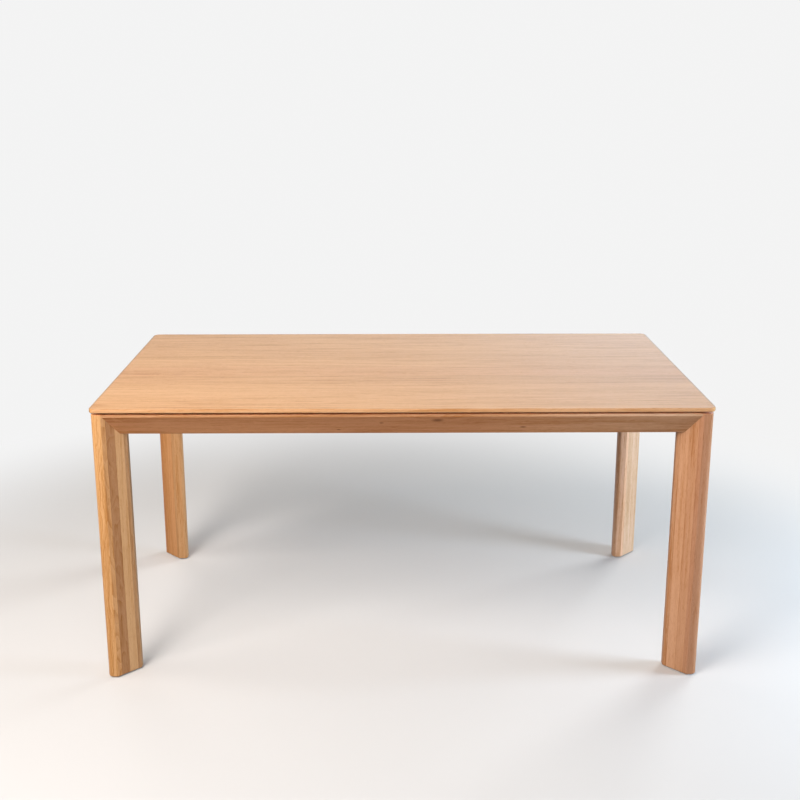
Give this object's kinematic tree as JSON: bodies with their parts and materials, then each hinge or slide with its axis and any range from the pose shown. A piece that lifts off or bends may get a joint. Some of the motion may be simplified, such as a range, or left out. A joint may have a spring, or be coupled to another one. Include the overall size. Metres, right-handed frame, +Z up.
{
  "type": "dining table",
  "caption": "Rectangular oak dining table: thin top with an undercut edge on a mitred frame of bevelled rails, with diagonal slab legs at the corners.",
  "frame": {"origin": "on the floor under the middle of the top", "axes": "+Z up, +X along the table to the right of someone facing its front, the front faces -Y"},
  "size_m": [1.6, 0.9, 0.755],
  "materials": {
    "oak_top": "oiled, satin",
    "oak_leg": "oiled, satin",
    "oak_rail": "oiled, satin",
    "oak_frame": "planed, unoiled",
    "beech": "planed",
    "zinc_steel": "zinc plated",
    "nylon": "matt"
  },
  "bodies": {
    "root": {"top_board_1": "oak_top", "top_board_2": "oak_top", "top_board_3": "oak_top", "top_board_4": "oak_top", "top_board_5": "oak_top", "top_board_6": "oak_top", "top_board_7": "oak_top", "top_board_8": "oak_top", "front_left_leg_stave_1": "oak_leg", "front_left_leg_stave_2": "oak_leg", "front_left_leg_stave_3": "oak_leg", "front_left_leg_stave_4": "oak_leg", "front_left_corner_block": "oak_frame", "front_left_glides": "nylon", "front_right_leg_stave_1": "oak_leg", "front_right_leg_stave_2": "oak_leg", "front_right_leg_stave_3": "oak_leg", "front_right_leg_stave_4": "oak_leg", "front_right_corner_block": "oak_frame", "front_right_glides": "nylon", "back_left_leg_stave_1": "oak_leg", "back_left_leg_stave_2": "oak_leg", "back_left_leg_stave_3": "oak_leg", "back_left_leg_stave_4": "oak_leg", "back_left_corner_block": "oak_frame", "back_left_glides": "nylon", "back_right_leg_stave_1": "oak_leg", "back_right_leg_stave_2": "oak_leg", "back_right_leg_stave_3": "oak_leg", "back_right_leg_stave_4": "oak_leg", "back_right_corner_block": "oak_frame", "back_right_glides": "nylon", "front_rail": "oak_rail", "back_rail": "oak_rail", "left_rail": "oak_rail", "right_rail": "oak_rail", "cross_rail": "oak_frame", "top_buttons": "oak_frame", "cross_rail_dowels": "beech", "leg_bolts": "zinc_steel", "bolt_washers": "zinc_steel", "leg_inserts": "zinc_steel", "block_screws": "zinc_steel", "button_screws": "zinc_steel", "cross_rail_screws": "zinc_steel", "cross_rail_washers": "zinc_steel", "glide_nails": "zinc_steel"}
  },
  "joints": []
}
